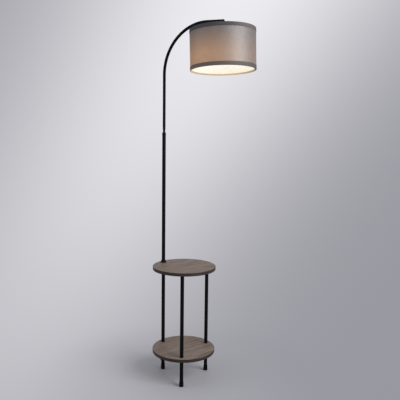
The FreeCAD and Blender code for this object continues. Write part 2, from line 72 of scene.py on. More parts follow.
# Colours that no setting holds, as linear light.
STEEL_WORN = (0.006, 0.006, 0.006)
ZINC = (0.55, 0.56, 0.58)
BRASS = (0.75, 0.58, 0.28)
NICKEL = (0.70, 0.68, 0.64)
LACQUER = (0.78, 0.77, 0.73)
LACQUER_WORN = (0.55, 0.54, 0.50)
CABLE_SHEATH = (0.02, 0.02, 0.02)
HOLDER_PLASTIC = (0.02, 0.02, 0.021)
CERAMIC = (0.76, 0.74, 0.69)
BULB_PLASTIC = (0.85, 0.85, 0.84)
BULB_OPAL = (0.92, 0.90, 0.85)
TAPE_LIGHT = (1.0, 0.72, 0.48)
EVEN_LIGHT = (0.98, 0.98, 1.0)

# Slubs in the threads: cells of noise per metre along a thread and across it.
SLUB_ALONG = 30.0
SLUB_ACROSS = 240.0

# Glow of the lit cloth, painted light of the bulb shining through: two heights as shares of half
# the shade's height, and shares of the glow's level. The weaker glow on the outer side and
# towards both ends is painted shade.
GLOW_HEIGHTS = (-0.35, 0.80)    # where it is strongest and weakest
GLOW_ACROSS = (1.04, 0.82)      # on the column's side and on the outer side
GLOW_ENDS = (1.06, 0.46)        # in the middle and at both ends
GLOW_THREADS = (1.35, 0.65)     # between the threads and through their crowns

# Camera: focal length and picture width of the photograph, in pixels.
FOCAL_PIXELS = 513.69
PHOTO_PIXELS = 400

# Studio lights: name, place, width, point that it is aimed at, and the setting for its power.
LAMP_MIDDLE = (0.15, 0.0, 0.85)
TABLE_MIDDLE = (0.115, 0.0, 0.25)
LIGHTS = (
    ("key", (3.05, -0.20, 2.00), 2.4, LAMP_MIDDLE, "key_power"),
    ("fill", (-1.50, -1.60, 1.50), 1.5, TABLE_MIDDLE, "fill_power"),
    ("behind", (-1.40, 2.20, 2.40), 1.8, LAMP_MIDDLE, "rim_power"),
)

# Distances over which the floor changes, in metres from under the table's middle.
LIT_TO_NOTHING = (0.05, 1.25)       # as the light sees it
SEEN_TO_PAINTED = (0.05, 0.85)      # as the camera sees it: first to the backdrop's colour
PAINTED_TO_NOTHING = (0.65, 1.50)   # and then to nothing

# Where the floor's lighter left tone, painted light, gives way to its darker right one, painted
# shade, in metres to the camera's right of the column.
LEFT_TO_RIGHT = (-0.55, 0.65)

# Pool of light on the backdrop, in a ray's shares across the view and up: its middle, its
# reach, and how fast it falls off along its length and across it.
POOL_MIDDLE = (0.165, 0.455)
POOL_REACH = (0.304, 0.448)
POOL_FALL = (0.071, 0.929)

# A ray's share that points away from the camera, where the backdrop's tone for the other
# directions gives way to the one behind the lamp.
ROUND_TO_BEHIND = (0.10, 0.75)


# ---- Settings ----

def length_setting(name, description, value):
    return bpy.props.FloatProperty(
        name=name, description=description, default=value, unit="LENGTH")


def angle_setting(name, description, degrees):
    return bpy.props.FloatProperty(
        name=name, description=description, default=math.radians(degrees), subtype="ANGLE")


def count_setting(name, description, value, least):
    return bpy.props.IntProperty(name=name, description=description, default=value, min=least)


def plain_setting(name, description, value):
    return bpy.props.FloatProperty(name=name, description=description, default=value)


def colour_setting(name, description, value):
    return bpy.props.FloatVectorProperty(
        name=name, description=description, default=value, subtype="COLOR")


class LampShadeSettings(bpy.types.PropertyGroup):
    """Sizes of the cloth skin and the rim tapes, in metres."""

    tilt: angle_setting("Tilt", "How far the shade's outer side hangs high", 2.1)
    cloth_thickness: length_setting("Cloth", "Thickness of the woven skin", 0.6 * MM)
    sides: count_setting("Sides", "Facets round the shade", 192, least=24)
    seam_facets: count_setting("Seam facets", "Facets that the lap seam is wide", 2, least=1)
    seam_lift: length_setting("Seam lift", "How proud the lap seam stands", 0.5 * MM)
    tape_height: length_setting("Tape height", "Rim tape outside the shade", 15.0 * MM)
    tape_fold: length_setting("Tape fold", "Rim tape folded in over the wire", 6.0 * MM)
    tape_thickness: length_setting("Tape thickness", "Thickness of the rim tape", 0.7 * MM)
    tape_depth: length_setting(
        "Tape depth", "From the tape's outside to its inner fold", 6.9 * MM)
    tape_edge: length_setting("Tape edge", "Rounding of the tape's edges", 0.22 * MM)
    spoke_notch: length_setting(
        "Spoke notch", "Radius of the slot that clears a spoke", 2.05 * MM)
    spoke_drop: length_setting("Spoke drop", "From the top rim to a spoke's middle", 2.8 * MM)


class LampFinishSettings(bpy.types.PropertyGroup):
    """Colours of the finishes, as linear light, and how strongly the lit ones glow."""

    steel: colour_setting("Steel", "Black powder coat", (0.0030, 0.0030, 0.0035))
    rubber: colour_setting("Rubber", "Foot caps", (0.0040, 0.0040, 0.0045))
    wood_dark: colour_setting("Wood dark", "Grain lines of the boards", (0.100, 0.074, 0.061))
    wood_light: colour_setting("Wood light", "Ground of the boards", (0.330, 0.260, 0.218))
    board_edge: colour_setting(
        "Board edge", "Edge band of the boards", (0.026, 0.0185, 0.0155))
    # Cloth dark and light are partly painted shade between the threads and painted light on their
    # crowns, partly the yarn's own slubs.
    cloth_dark: colour_setting("Cloth dark", "Shadow between threads", (0.045, 0.041, 0.041))
    cloth_light: colour_setting("Cloth light", "Crown of the threads", (0.190, 0.174, 0.172))
    tape: colour_setting("Tape", "Rim tape", (0.052, 0.049, 0.053))
    lining: colour_setting("Lining", "White film inside the shade", (0.78, 0.74, 0.68))
    glow: colour_setting("Glow", "Light that comes through the cloth", (0.62, 0.290, 0.095))
    lamp_light: colour_setting("Lamp light", "Light of the bulb", (1.0, 0.93, 0.80))
    lining_low: colour_setting(
        "Lining low", "Light of the lining at its lower rim", (1.0, 0.80, 0.46))
    lining_mid: colour_setting(
        "Lining middle", "Light of the lining beside the bulb", (1.0, 1.0, 0.98))
    glow_low: plain_setting("Glow low", "Strength of the glow near the lower rim", 0.46)
    glow_high: plain_setting("Glow high", "Strength of the glow near the upper rim", 0.04)
    tape_glow: plain_setting(
        "Tape glow", "Strength of the lit inner fold of the tapes", 0.52)
    lining_glow: plain_setting("Lining glow", "Strength of the lit lining", 0.47)
    bulb_glow: plain_setting("Bulb glow", "Strength of the lit globe", 0.85)
    thread_pitch: length_setting("Thread pitch", "Length of one wave of the weave", 2.4 * MM)
    grain_angle: angle_setting("Grain angle", "Way that the boards' grain runs", 74.0)


class LampStageSettings(bpy.types.PropertyGroup):
    """Camera, lights, floor and backdrop."""

    camera_place: bpy.props.FloatVectorProperty(
        name="Camera", description="Camera's place", default=(1.3678, -1.8680, 1.0470),
        unit="LENGTH")
    camera_heading: angle_setting(
        "Heading", "Camera's turn from +Y, anticlockwise from above", 32.152)
    camera_pitch: angle_setting("Pitch", "Camera's dip below level", 6.18)
    camera_roll: angle_setting("Roll", "Camera's roll", 0.721)
    focal_share: plain_setting(
        "Focal share", "Focal length over the picture's width", FOCAL_PIXELS / PHOTO_PIXELS)
    sensor: plain_setting("Sensor", "Sensor width in millimetres", 36.0)
    key_power: plain_setting("Key", "Main light in watts", 94.0)
    fill_power: plain_setting("Fill", "Light on the table in watts", 6.0)
    rim_power: plain_setting("Rim", "Light from behind in watts", 5.0)
    ambient: plain_setting("Ambient", "Light from all round", 0.42)
    # The floor is lighter on the camera's left as painted light and darker on its right as
    # painted shade.
    floor_left: colour_setting(
        "Floor left", "Floor on the camera's left", (0.62, 0.62, 0.66))
    floor_right: colour_setting(
        "Floor right", "Floor on the camera's right", (0.345, 0.345, 0.385))
    backdrop_dim: colour_setting(
        "Backdrop behind", "Backdrop behind the lamp, off the pool of light",
        (0.315, 0.313, 0.350))
    backdrop_round: colour_setting(
        "Backdrop round", "Backdrop in the other directions", (0.52, 0.52, 0.55))
    backdrop_lit: colour_setting(
        "Lit backdrop", "Middle of the pool of light on the backdrop", (0.875, 0.868, 0.905))
    floor_radius: length_setting("Floor radius", "Reach of the floor", 1.8)


def shade_settings():
    return bpy.context.scene.lamp_shade


def finish_settings():
    return bpy.context.scene.lamp_finish


def stage_settings():
    return bpy.context.scene.lamp_stage


# ---- Where the shade is ----

def shade_size():
    """Centre, outer radius and half height of the shade, taken from its frame nodes. The
    tilt is about Y, so the width along Y is the true diameter."""
    tape_low, tape_high = [Vector(corner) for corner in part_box("shade_top_trim")]
    low, high = [Vector(corner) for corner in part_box("shade_lining")]
    centre = (low + high) / 2
    radius = (tape_high.y - tape_low.y) / 2
    lining_radius = (high.y - low.y) / 2
    tilt = shade_settings().tilt
    height = ((high.z - low.z) - 2 * lining_radius * math.sin(tilt)) / math.cos(tilt)
    return centre, radius, height / 2 + shade_settings().tape_thickness


def shade_matrix():
    """From the shade's own frame, origin at its middle and Z up its axis, to the lamp's."""
    centre, _, _ = shade_size()
    return Matrix.Translation(centre) @ Matrix.Rotation(-shade_settings().tilt, 4, "Y")


# ---- Mesh helpers ----

def deselect_all():
    if bpy.context.object and bpy.context.object.mode != "OBJECT":
        bpy.ops.object.mode_set(mode="OBJECT")
    bpy.ops.object.select_all(action="DESELECT")


def make_active(piece):
    deselect_all()
    piece.select_set(True)
    bpy.context.view_layer.objects.active = piece


def edit(piece, *steps):
    """Runs steps in edit mode, on what is selected in the piece's mesh."""
    make_active(piece)
    bpy.ops.object.mode_set(mode="EDIT")
    for step in steps:
        step()
    bpy.ops.object.mode_set(mode="OBJECT")


def apply_modifier(piece, name, kind, **values):
    make_active(piece)
    modifier = piece.modifiers.new(name, kind)
    for key, value in values.items():
        setattr(modifier, key, value)
    bpy.ops.object.modifier_apply(modifier=modifier.name)


def clean_normals(piece):
    edit(
        piece,
        lambda: bpy.ops.mesh.select_all(action="SELECT"),
        lambda: bpy.ops.mesh.remove_doubles(threshold=WELD),
        lambda: bpy.ops.mesh.normals_make_consistent(inside=False),
    )


def settle(piece, name, matrix, material):
    """Puts a piece's place into its mesh, smooths it and gives it its finish and its body."""
    piece.name = name
    piece.data.name = name
    piece.data.transform(matrix)
    make_active(piece)
    bpy.ops.object.shade_smooth_by_angle(angle=SMOOTH_ANGLE)
    piece.data.materials.clear()
    piece.data.materials.append(material)
    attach(piece, ARM)


def add_profile(name, points):
    """Closed outline in the XZ plane, as a mesh of edges."""
    mesh = bpy.data.meshes.new(name)
    count = len(points)
    edges = [(i, (i + 1) % count) for i in range(count)]
    mesh.from_pydata([(r, 0.0, z) for r, z in points], edges, [])
    piece = bpy.data.objects.new(name, mesh)
    bpy.context.collection.objects.link(piece)
    return piece


# ---- Node helpers ----

class Tree:
    """Short hand for a node tree."""

    def __init__(self, tree):
        self.tree = tree
        self.tree.nodes.clear()

    def add(self, kind, **values):
        node = self.tree.nodes.new(kind)
        for key, value in values.items():
            setattr(node, key, value)
        return node

    def link(self, source, target):
        self.tree.links.new(source, target)

    def put(self, target, value):
        """Links a socket, or sets a plain value."""
        if isinstance(value, bpy.types.NodeSocket):
            self.link(value, target)
        else:
            target.default_value = value

    def object_coords(self):
        return self.add("ShaderNodeTexCoord").outputs["Object"]

    def mapped(self, vector, scale=(1, 1, 1), rotation=(0, 0, 0), location=(0, 0, 0)):
        """Scales a vector, then turns it, then moves it."""
        node = self.add("ShaderNodeMapping")
        self.link(vector, node.inputs["Vector"])
        node.inputs["Scale"].default_value = scale
        node.inputs["Rotation"].default_value = rotation
        node.inputs["Location"].default_value = location
        return node.outputs["Vector"]

    def vector(self, operation, first, second=(0.0, 0.0, 0.0)):
        node = self.add("ShaderNodeVectorMath", operation=operation)
        self.link(first, node.inputs[0])
        node.inputs[1].default_value = second
        return node.outputs["Value" if operation in ("LENGTH", "DOT_PRODUCT") else "Vector"]

    def along(self, vector, direction):
        """How far a vector runs along a direction."""
        return self.vector("DOT_PRODUCT", vector, direction)

    def noise(self, vector, scale, detail, roughness=0.5):
        node = self.add("ShaderNodeTexNoise")
        self.link(vector, node.inputs["Vector"])
        node.inputs["Scale"].default_value = scale
        node.inputs["Detail"].default_value = detail
        node.inputs["Roughness"].default_value = roughness
        return node.outputs["Fac"]

    def math(self, operation, first, second=0.0):
        node = self.add("ShaderNodeMath", operation=operation)
        self.put(node.inputs[0], first)
        self.put(node.inputs[1], second)
        return node.outputs[0]

    def times(self, first, *others):
        for other in others:
            first = self.math("MULTIPLY", first, other)
        return first

    def weigh(self, *pairs):
        """Sum of values, each times its weight."""
        first, *others = [self.times(value, weight) for value, weight in pairs]
        for other in others:
            first = self.math("ADD", first, other)
        return first

    def spread(self, value, low, high, out_low, out_high):
        """Maps low..high onto out_low..out_high, held at both ends."""
        node = self.add("ShaderNodeMapRange")
        self.link(value, node.inputs["Value"])
        limits = {"From Min": low, "From Max": high, "To Min": out_low, "To Max": out_high}
        for key, number in limits.items():
            node.inputs[key].default_value = number
        return node.outputs["Result"]

    def mix(self, factor, first, second):
        """Mixes two colours, each a socket or three numbers."""
        node = self.add("ShaderNodeMix", data_type="RGBA")
        self.put(node.inputs["Factor"], factor)
        colours = [s for s in node.inputs if s.type == "RGBA"]
        for socket, value in zip(colours, (first, second)):
            plain = not isinstance(value, bpy.types.NodeSocket)
            self.put(socket, (*value, 1.0) if plain else value)
        return [s for s in node.outputs if s.type == "RGBA"][0]

    def blend(self, factor, first, second):
        """Mixes two shaders."""
        node = self.add("ShaderNodeMixShader")
        for socket, source in zip(node.inputs, (factor, first, second)):
            self.link(source, socket)
        return node.outputs[0]


class Nodes(Tree):
    """Short hand for one material and its node tree."""

    def __init__(self, name):
        self.material = bpy.data.materials.new(name)
        self.material.use_nodes = True
        super().__init__(self.material.node_tree)
        self.shader = self.add("ShaderNodeBsdfPrincipled")
        self.output = self.add("ShaderNodeOutputMaterial")
        self.link(self.shader.outputs["BSDF"], self.output.inputs["Surface"])

    def set(self, **values):
        """Links or sets inputs of the shader. An underscore stands for a space."""
        for key, value in values.items():
            self.put(self.shader.inputs[key.replace("_", " ")], value)

    def glow_evenly(self):
        """Broad dim glow, which light paths find by themselves: aiming at its many faces
        takes their share of the aim away from the studio lights, and leaves specks."""
        self.material.cycles.emission_sampling = "NONE"

    def bump(self, height, distance, strength):
        node = self.add("ShaderNodeBump")
        node.inputs["Distance"].default_value = distance
        node.inputs["Strength"].default_value = strength
        self.link(height, node.inputs["Height"])
        self.link(node.outputs["Normal"], self.shader.inputs["Normal"])


# ---- Finishes ----

def tones(colour, dark, light):
    """A colour made darker and lighter, by shares."""
    return [c * dark for c in colour], [min(c * light, 1.0) for c in colour]


def coated_metal(name, colour, roughness, grain, metallic=0.0, worn=None, gloss=0.5):
    """Painted or plated metal: fine grain in the bump, cloudy gloss, and worn patches."""
    nodes = Nodes(name)
    place = nodes.object_coords()
    cloud = nodes.noise(place, scale=14.0, detail=5.0)
    fine = nodes.noise(place, scale=grain, detail=3.0)
    tint = nodes.mix(nodes.spread(cloud, *NARROW, 0.0, 1.0), *tones(colour, 0.92, 1.08))
    if worn:
        patches = nodes.noise(place, scale=220.0, detail=6.0, roughness=0.7)
        tint = nodes.mix(nodes.spread(patches, 0.66, 0.74, 0.0, 0.5), tint, worn)
    nodes.set(
        Base_Color=tint, Metallic=metallic, Specular_IOR_Level=gloss,
        Roughness=nodes.spread(cloud, *WIDE, roughness - 0.03, roughness + 0.04))
    nodes.bump(fine, distance=0.02 * MM, strength=0.25)
    return nodes.material


def moulded(name, colour, roughness, grain, depth, gloss=0.5):
    """Moulded plastic, rubber or ceramic."""
    nodes = Nodes(name)
    place = nodes.object_coords()
    cloud = nodes.noise(place, scale=30.0, detail=4.0)
    nodes.set(
        Base_Color=nodes.mix(
            nodes.spread(cloud, *NARROW, 0.0, 1.0), *tones(colour, 0.88, 1.1)),
        Roughness=nodes.spread(cloud, *WIDE, roughness - 0.05, roughness + 0.07),
        Specular_IOR_Level=gloss)
    nodes.bump(nodes.noise(place, scale=grain, detail=3.0), distance=depth, strength=0.7)
    return nodes.material


def wood_laminate(name):
    """Grey-brown wood print under a satin coat: broad figure, long grain and short pores."""
    looks = finish_settings()
    nodes = Nodes(name)
    place = nodes.mapped(nodes.object_coords(), rotation=(0.0, 0.0, -looks.grain_angle))

    def print_layer(along, across, scale, detail, roughness):
        stretched = nodes.mapped(place, scale=(along, across, across))
        return nodes.noise(stretched, scale, detail, roughness)

    figure = print_layer(along=2.4, across=26.0, scale=2.2, detail=6.0, roughness=0.62)
    streaks = print_layer(along=5.0, across=70.0, scale=2.0, detail=5.0, roughness=0.60)
    grain = print_layer(along=7.0, across=190.0, scale=2.4, detail=7.0, roughness=0.68)
    pores = print_layer(along=40.0, across=900.0, scale=1.0, detail=3.0, roughness=0.50)
    broad = nodes.spread(figure, 0.34, 0.66, 0.0, 1.0)
    bands = nodes.spread(streaks, 0.36, 0.64, 0.0, 1.0)
    lines = nodes.spread(grain, 0.36, 0.66, 0.0, 1.0)
    pits = nodes.spread(pores, 0.60, 0.72, 0.0, 0.45)
    ground = nodes.mix(
        nodes.weigh((broad, 0.40), (bands, 0.35), (lines, 0.25)),
        looks.wood_dark, looks.wood_light)
    nodes.set(
        Base_Color=nodes.mix(pits, ground, [c * 0.5 for c in looks.wood_dark]),
        Roughness=nodes.spread(figure, *WIDE, 0.58, 0.68), Specular_IOR_Level=0.10)
    nodes.bump(nodes.math("SUBTRACT", lines, pits), distance=0.02 * MM, strength=0.3)
    return nodes.material


def from_shade_middle(nodes):
    """Place as seen from the shade's middle."""
    centre, _, _ = shade_size()
    return nodes.mapped(nodes.object_coords(), location=tuple(-centre))


def shade_coords(nodes):
    """Arc length round the shade, height along its axis and reach away from the column."""
    _, radius, _ = shade_size()
    local = nodes.mapped(from_shade_middle(nodes), rotation=(0.0, shade_settings().tilt, 0.0))
    parts = nodes.add("ShaderNodeSeparateXYZ")
    nodes.link(local, parts.inputs["Vector"])
    turned = nodes.math("ARCTAN2", parts.outputs["Y"], parts.outputs["X"])
    return nodes.times(turned, radius), parts.outputs["Z"], parts.outputs["X"]


def weave(nodes, pitch):
    """Plain weave: height of the threads' crowns and slubs along both sets of threads, both
    0..1, with the height on the shade and the reach away from the column."""
    around, up, side = shade_coords(nodes)
    turns = 2 * math.pi / pitch
    warp = nodes.math("SINE", nodes.times(around, turns))
    weft = nodes.math("SINE", nodes.times(up, turns))
    crown = nodes.spread(nodes.times(warp, weft), -1.0, 1.0, 0.0, 1.0)
    flat = nodes.add("ShaderNodeCombineXYZ")
    nodes.link(around, flat.inputs["X"])
    nodes.link(up, flat.inputs["Y"])
    round_threads, upright_threads = [
        nodes.noise(
            nodes.mapped(flat.outputs["Vector"], scale=scale),
            scale=1.0, detail=4.0, roughness=0.6)
        for scale in ((SLUB_ALONG, SLUB_ACROSS, 1.0), (SLUB_ACROSS, SLUB_ALONG, 1.0))]
    slubs = nodes.math("ADD", round_threads, upright_threads)
    return crown, nodes.spread(slubs, 0.75, 1.25, 0.0, 1.0), up, side


def shade_cloth_finish(name):
    """Grey cloth that the lamp's warm light comes through, more of it low down."""
    looks = finish_settings()
    nodes = Nodes(name)
    crown, slub, up, side = weave(nodes, looks.thread_pitch)
    _, radius, half = shade_size()
    tone = nodes.weigh((crown, 0.35), (slub, 0.65))
    strong, weak = [half * height for height in GLOW_HEIGHTS]
    # The glow is painted light of the bulb through the cloth, made weaker on the outer side and
    # towards both ends as painted shade.
    level = nodes.times(
        nodes.spread(up, strong, weak, looks.glow_low, looks.glow_high),
        nodes.spread(side, -radius, radius, *GLOW_ACROSS),
        nodes.spread(nodes.times(side, side), 0.0, radius ** 2, *GLOW_ENDS),
        nodes.spread(tone, 0.2, 0.8, *GLOW_THREADS))
    # Base colour: darker between the threads as painted shade and lighter on their crowns as
    # painted light, mixed with the yarn's own slubs.
    nodes.set(
        Base_Color=nodes.mix(tone, looks.cloth_dark, looks.cloth_light),
        Emission_Color=(*looks.glow, 1.0), Emission_Strength=level,
        Roughness=0.50, Specular_IOR_Level=1.0)
    nodes.glow_evenly()
    nodes.bump(nodes.math("ADD", crown, slub), distance=0.16 * MM, strength=0.6)
    return nodes.material


def tape_finish(name):
    """Dark woven tape. Its inner fold is lit by the bulb, and a little light comes through
    low down. The fold is told from the outside by the level distance from the shade's middle,
    which leaves the tilt out."""
    looks = finish_settings()
    nodes = Nodes(name)
    crown, slub, up, _ = weave(nodes, looks.thread_pitch * 0.6)
    _, radius, half = shade_size()
    tone = nodes.weigh((crown, 0.5), (slub, 0.5))
    level_part = nodes.mapped(from_shade_middle(nodes), scale=(1.0, 1.0, 0.0))
    fold = radius - shade_settings().tape_depth
    outside = radius - 2 * MM
    inside = nodes.spread(
        nodes.vector("LENGTH", level_part), fold, outside, looks.tape_glow, 0.0)
    through = nodes.spread(up, -half, half, looks.tape_glow * 0.10, 0.0)
    # Base colour: darker between the threads as painted shade and lighter on their crowns as
    # painted light, half of it the yarn's own slubs.
    nodes.set(
        Base_Color=nodes.mix(tone, *tones(looks.tape, 0.62, 1.38)),
        Emission_Color=(*TAPE_LIGHT, 1.0), Emission_Strength=nodes.math("ADD", inside, through),
        Roughness=0.6, Specular_IOR_Level=0.4)
    nodes.glow_evenly()
    nodes.bump(nodes.math("ADD", crown, slub), distance=0.15 * MM, strength=0.8)
    return nodes.material


def lining_finish(name):
    """White film, lit from inside the shade: warm at its lower rim and weaker high up."""
    looks = finish_settings()
    nodes = Nodes(name)
    place = nodes.object_coords()
    cloud = nodes.noise(place, scale=9.0, detail=3.0)
    _, _, half = shade_size()
    _, up, _ = shade_coords(nodes)
    warmth = nodes.spread(up, -half, -half * 0.55, 0.0, 1.0)
    level = nodes.times(
        nodes.spread(up, -half * 0.2, half, looks.lining_glow, looks.lining_glow * 0.7),
        nodes.spread(cloud, *WIDE, 0.98, 1.02))
    nodes.set(
        Base_Color=nodes.mix(
            nodes.spread(cloud, *NARROW, 0.0, 1.0), *tones(looks.lining, 0.96, 1.0)),
        Emission_Color=nodes.mix(warmth, looks.lining_low, looks.lining_mid),
        Emission_Strength=level, Roughness=0.6)
    nodes.glow_evenly()
    nodes.bump(nodes.noise(place, scale=120.0, detail=2.0), distance=0.02 * MM, strength=0.3)
    return nodes.material


def opal_finish(name):
    """Opal globe, lit."""
    looks = finish_settings()
    nodes = Nodes(name)
    cloud = nodes.noise(nodes.object_coords(), scale=20.0, detail=2.0)
    nodes.set(
        Base_Color=(*BULB_OPAL, 1.0), Emission_Color=(*looks.lamp_light, 1.0),
        Emission_Strength=nodes.spread(
            cloud, *WIDE, looks.bulb_glow * 0.95, looks.bulb_glow * 1.05),
        Roughness=0.25)
    nodes.glow_evenly()
    nodes.bump(cloud, distance=0.02 * MM, strength=0.3)
    return nodes.material


FINISHES = {
    "black_steel": lambda name: coated_metal(
        name, finish_settings().steel, roughness=0.45, grain=900.0, worn=STEEL_WORN, gloss=0.07),
    "foot_rubber": lambda name: moulded(
        name, finish_settings().rubber, roughness=0.60, grain=700.0, depth=0.04 * MM, gloss=0.04),
    "board_laminate": wood_laminate,
    "board_edge": lambda name: moulded(
        name, finish_settings().board_edge, roughness=0.42, grain=500.0, depth=0.04 * MM,
        gloss=0.3),
    "zinc_steel": lambda name: coated_metal(
        name, ZINC, roughness=0.32, grain=1200.0, metallic=1.0),
    "cable_sheath": lambda name: moulded(
        name, CABLE_SHEATH, roughness=0.5, grain=600.0, depth=0.04 * MM),
    "holder_plastic": lambda name: moulded(
        name, HOLDER_PLASTIC, roughness=0.38, grain=800.0, depth=0.03 * MM),
    "holder_ceramic": lambda name: moulded(
        name, CERAMIC, roughness=0.55, grain=500.0, depth=0.04 * MM),
    "socket_brass": lambda name: coated_metal(
        name, BRASS, roughness=0.28, grain=1200.0, metallic=1.0),
    "frame_white": lambda name: coated_metal(
        name, LACQUER, roughness=0.4, grain=900.0, worn=LACQUER_WORN),
    "shade_lining": lining_finish,
    "shade_fabric": shade_cloth_finish,
    "shade_trim": tape_finish,
    "bulb_opal": opal_finish,
    "bulb_white": lambda name: moulded(
        name, BULB_PLASTIC, roughness=0.35, grain=700.0, depth=0.02 * MM),
    "bulb_nickel": lambda name: coated_metal(
        name, NICKEL, roughness=0.25, grain=1200.0, metallic=1.0),
}


def finish_for(slot):
    return bpy.data.materials.get("finish_" + slot) or FINISHES[slot]("finish_" + slot)


# ---- Operators ----

class LAMP_OT_dress_frame(bpy.types.Operator):
    """Gives every part of the frame the finish of its material slot"""

    bl_idname = "lamp.dress_frame"
    bl_label = "Dress the Frame"

    def execute(self, context):
        for part in frame["record"]["subparts"]:
            node = frame["nodes"][part["node"]]
            for slot in node.material_slots:
                slot.material = finish_for(part["material_slot"])
        return {"FINISHED"}


class LAMP_OT_add_shade_cloth(bpy.types.Operator):
    """Builds the woven skin of the shade, with its lap seam on the column's side"""

    bl_idname = "lamp.add_shade_cloth"
    bl_label = "Add Shade Cloth"

    def execute(self, context):
        sizes = shade_settings()
        _, tape_radius, half = shade_size()
        deselect_all()
        bpy.ops.mesh.primitive_cylinder_add(
            vertices=sizes.sides, radius=tape_radius - sizes.tape_thickness - SKIN_GAP,
            depth=2 * (half - sizes.tape_thickness), end_fill_type="NOTHING",
            location=(0, 0, 0))
        cloth = bpy.context.object
        self.cut_rows(cloth, half, sizes)
        self.raise_seam(cloth, half, sizes)
        apply_modifier(
            cloth, "thickness", "SOLIDIFY", thickness=sizes.cloth_thickness, offset=-1.0)
        clean_normals(cloth)
        settle(cloth, "shade_cloth", shade_matrix(), finish_for("shade_fabric"))
        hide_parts("shade_fabric")
        return {"FINISHED"}

    def cut_rows(self, cloth, half, sizes):
        """Rows of faces where the tapes end, so that the seam can stop there."""
        for height in (half - sizes.tape_height, -(half - sizes.tape_height)):
            edit(
                cloth,
                lambda: bpy.ops.mesh.select_all(action="SELECT"),
                lambda: bpy.ops.mesh.bisect(plane_co=(0, 0, height), plane_no=(0, 0, 1)),
            )

    def raise_seam(self, cloth, half, sizes):
        """Lifts the facets on the column's side, between the tapes, as the overlapped cloth."""
        reach = math.pi * sizes.seam_facets / sizes.sides
        edit(cloth, lambda: bpy.ops.mesh.select_all(action="DESELECT"))
        for face in cloth.data.polygons:
            centre = face.center
            between = abs(centre.z) < half - sizes.tape_height
            face.select = between and abs(math.atan2(centre.y, -centre.x)) < reach
        edit(cloth, lambda: bpy.ops.mesh.extrude_region_shrink_fatten(
            TRANSFORM_OT_shrink_fatten={"value": sizes.seam_lift}))


class LAMP_OT_add_rim_tapes(bpy.types.Operator):
    """Builds the two rim tapes, folded in over the rim wires"""

    bl_idname = "lamp.add_rim_tapes"
    bl_label = "Add Rim Tapes"

    def execute(self, context):
        for name, node, side in (
            ("rim_tape_top", "shade_top_trim", 1),
            ("rim_tape_bottom", "shade_bottom_trim", -1),
        ):
            tape = self.build_tape(name, side)
            if side > 0:
                self.notch_for_spokes(tape)
            clean_normals(tape)
            settle(tape, name, shade_matrix(), finish_for("shade_trim"))
            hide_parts(node)
        return {"FINISHED"}

    def build_tape(self, name, side):
        """Turns the tape's folded outline round the axis. Side is 1 for the top rim and -1
        for the bottom one."""
        sizes = shade_settings()
        _, radius, half = shade_size()
        skin = sizes.tape_thickness
        inner = radius - sizes.tape_depth
        points = [
            (radius, half - sizes.tape_height),
            (radius, half),
            (inner, half),
            (inner, half - sizes.tape_fold),
            (inner + skin, half - sizes.tape_fold),
            (inner + skin, half - skin),
            (radius - skin, half - skin),
            (radius - skin, half - sizes.tape_height),
        ]
        tape = add_profile(name, [(r, z * side) for r, z in points])
        apply_modifier(
            tape, "turn", "SCREW", steps=sizes.sides, render_steps=sizes.sides, axis="Z",
            use_merge_vertices=True, merge_threshold=WELD)
        apply_modifier(
            tape, "edges", "BEVEL", width=sizes.tape_edge, segments=2, limit_method="ANGLE",
            angle_limit=EDGE_ANGLE)
        return tape

    def notch_for_spokes(self, tape):
        """Slots in the inner fold, one over each spoke."""
        sizes = shade_settings()
        _, radius, half = shade_size()
        inner = radius - sizes.tape_depth
        for spoke in range(SPOKE_COUNT):
            deselect_all()
            bpy.ops.mesh.primitive_cylinder_add(
                vertices=24, radius=sizes.spoke_notch, depth=NOTCH_LENGTH, location=(0, 0, 0))
            cutter = bpy.context.object
            cutter.data.transform(
                Matrix.Rotation(math.radians(360.0 / SPOKE_COUNT * spoke), 4, "Z")
                @ Matrix.Translation((inner + NOTCH_INSET, 0, half - sizes.spoke_drop))
                @ Matrix.Rotation(math.radians(90), 4, "Y"))
            apply_modifier(
                tape, "notch", "BOOLEAN", operation="DIFFERENCE", object=cutter, solver="EXACT")
            bpy.data.objects.remove(cutter)


